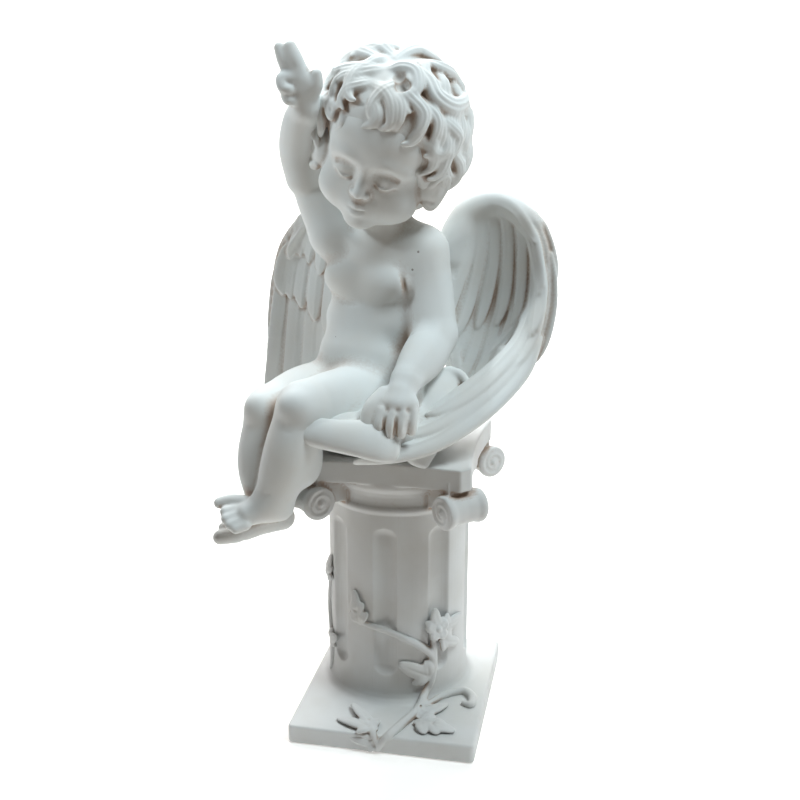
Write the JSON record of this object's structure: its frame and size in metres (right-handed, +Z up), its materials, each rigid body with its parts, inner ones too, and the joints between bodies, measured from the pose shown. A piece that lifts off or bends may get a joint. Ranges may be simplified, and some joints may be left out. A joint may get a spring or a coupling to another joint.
{
  "type": "cupid figurine",
  "caption": "White cast cherub seated on a short fluted Ionic column, head bowed, right arm raised, feathered wings, draped cloth, and a flowering vine on the shaft.",
  "frame": {"origin": "on the column's axis, at the underside of the plate under it", "axes": "+Z up along the column; -Y out of the plate's long front, where the vine starts; +X to the viewer's right, so the raised right arm is on the -X side"},
  "size_m": [0.1443, 0.1089, 0.3002],
  "materials": {
    "figure": "matte white cast resin",
    "plinth": "matte white cast resin"
  },
  "bodies": {
    "root": {"cupid": "figure", "column_plinth": "plinth"}
  },
  "joints": []
}
